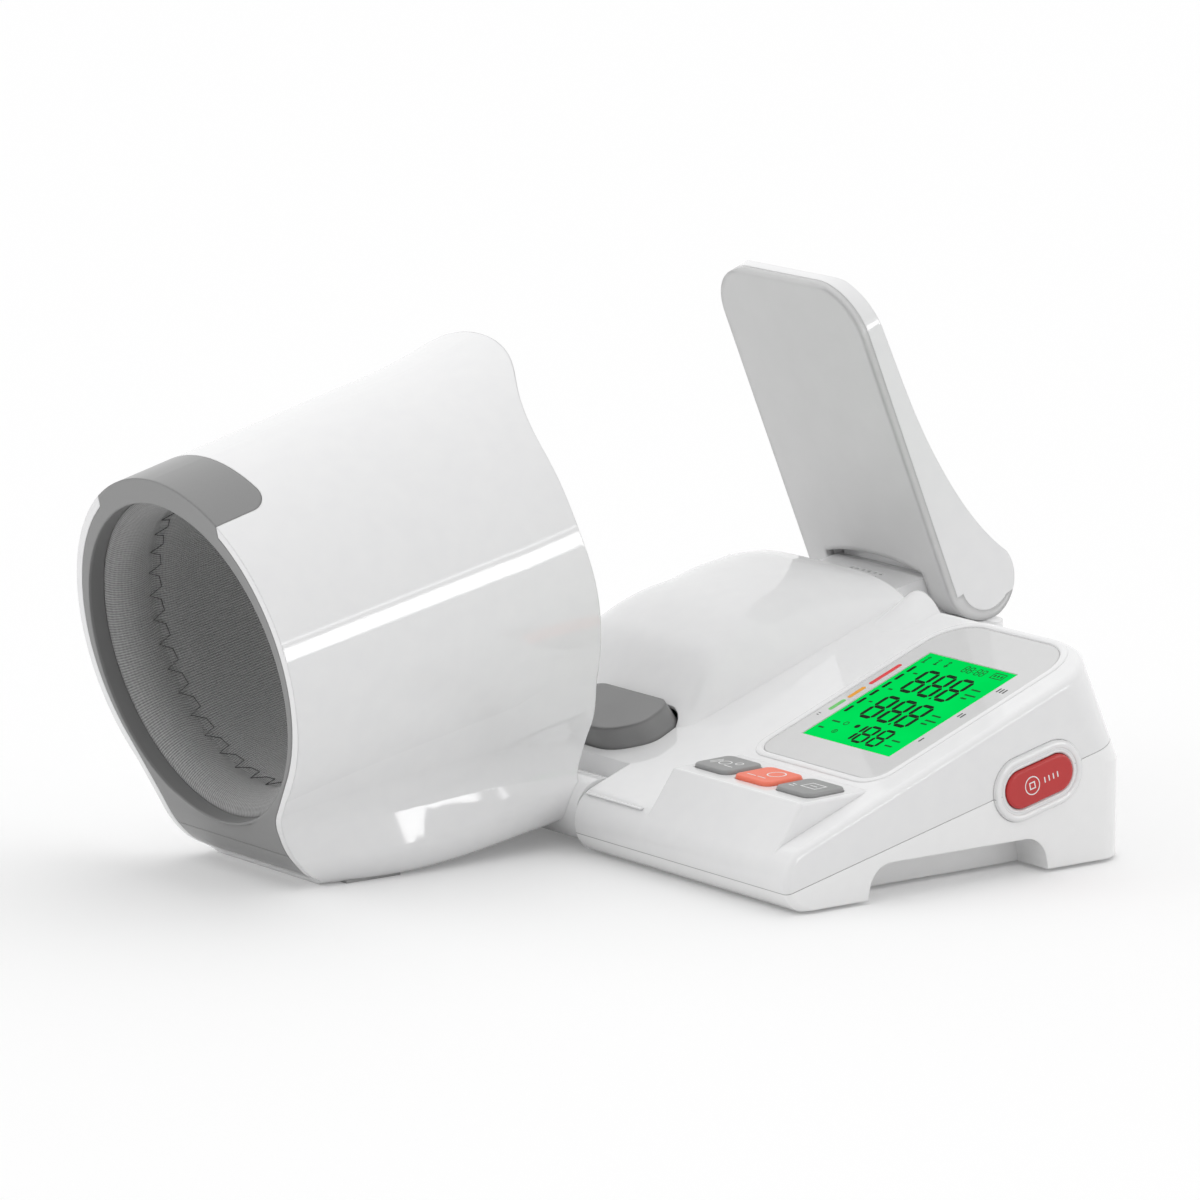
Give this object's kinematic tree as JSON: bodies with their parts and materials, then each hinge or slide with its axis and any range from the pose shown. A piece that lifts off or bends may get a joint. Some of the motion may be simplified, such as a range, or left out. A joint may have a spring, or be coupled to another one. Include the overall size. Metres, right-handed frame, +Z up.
{
  "type": "arm-in blood pressure monitor",
  "caption": "Arm-in blood pressure monitor: a tilting cuff drum, an arm rest with elbow pad, a sloping display console with keys, a side stop key and a folding lid.",
  "frame": {"origin": "middle of the footprint, on the table", "axes": "+Z up; +Y from the drum's mouth along the arm to the lid; +X towards the display console"},
  "size_m": [0.2928, 0.4292, 0.2337],
  "materials": {
    "white": "gloss",
    "light_plastic": "satin",
    "grey": "satin",
    "coral": "satin",
    "red": "gloss",
    "lcd": "gloss",
    "backlight": "matte",
    "black_plastic": "matte",
    "board": "satin",
    "fabric": "matte",
    "rubber": "matte",
    "tube_plastic": "satin",
    "steel": "satin",
    "cell": "gloss"
  },
  "bodies": {
    "base": {"base_upper_shell": "white", "base_lower_shell": "white", "display_panel": "light_plastic", "lcd_glass": "lcd", "lcd_backlight": "backlight", "display_frame": "black_plastic", "main_pcb": "board", "pcb_screws": "steel", "pressure_sensor": "black_plastic", "control_chips": "black_plastic", "key_switches": "black_plastic", "key_pcb": "board", "key_pcb_posts": "black_plastic", "stop_bezel": "white", "stop_switch": "black_plastic", "stop_pcb": "board", "stop_pcb_brackets": "black_plastic", "elbow_switch": "black_plastic", "elbow_switch_bracket": "black_plastic", "drum_hinge_pins": "steel", "lid_hinge_pins": "steel", "battery_tray": "black_plastic", "battery_cells": "cell", "battery_contacts": "steel", "battery_door": "white", "power_socket": "steel", "air_pump": "black_plastic", "pump_motor": "steel", "air_tee": "tube_plastic", "air_hose": "rubber", "release_valve": "steel", "valve_bracket": "black_plastic", "speaker": "steel", "speaker_cradle": "black_plastic", "case_screws": "steel", "rubber_feet": "rubber"},
    "drum": {"drum_shell": "white", "mouth_ring": "grey", "drum_chin": "grey", "drum_liner": "black_plastic", "drum_rear_ring": "white", "drum_foot_pads": "rubber", "cuff_fabric": "fabric", "air_bladder": "rubber", "cuff_air_port": "rubber"},
    "lid": {"lid_inner_plate": "light_plastic", "lid_outer_shell": "white"},
    "memory_key": {"memory_button": "grey"},
    "start_key": {"start_button": "coral"},
    "set_key": {"set_button": "grey"},
    "stop_key": {"stop_button": "red"},
    "elbow_key": {"elbow_pad": "grey"}
  },
  "joints": [
    {"name": "drum_pitch", "type": "hinge", "parent": "base", "child": "drum", "pos_m": [-0.06097, -0.01967, 0.017], "axis": [-1, 0, 0], "range_deg": [0, 25]},
    {"name": "lid_fold", "type": "hinge", "parent": "base", "child": "lid", "pos_m": [-0.06097, 0.19833, 0.093], "axis": [-1, 0, 0], "range_deg": [0, 95]},
    {"name": "memory_press", "type": "slide", "parent": "base", "child": "memory_key", "axis": [0, 0.0262, -0.9997], "range_m": [0, 0.0012], "stiffness_N_per_m": 400, "springref_m": -0.0006},
    {"name": "start_press", "type": "slide", "parent": "base", "child": "start_key", "axis": [0, 0.0262, -0.9997], "range_m": [0, 0.0012], "stiffness_N_per_m": 400, "springref_m": -0.0006},
    {"name": "set_press", "type": "slide", "parent": "base", "child": "set_key", "axis": [0, 0.0262, -0.9997], "range_m": [0, 0.0012], "stiffness_N_per_m": 400, "springref_m": -0.0006},
    {"name": "stop_press", "type": "slide", "parent": "base", "child": "stop_key", "axis": [-1, 0, 0], "range_m": [0, 0.0015], "stiffness_N_per_m": 500, "springref_m": -0.0005},
    {"name": "elbow_press", "type": "slide", "parent": "base", "child": "elbow_key", "axis": [0, 0.3551, -0.9348], "range_m": [0, 0.003], "stiffness_N_per_m": 900, "springref_m": -0.0012}
  ]
}
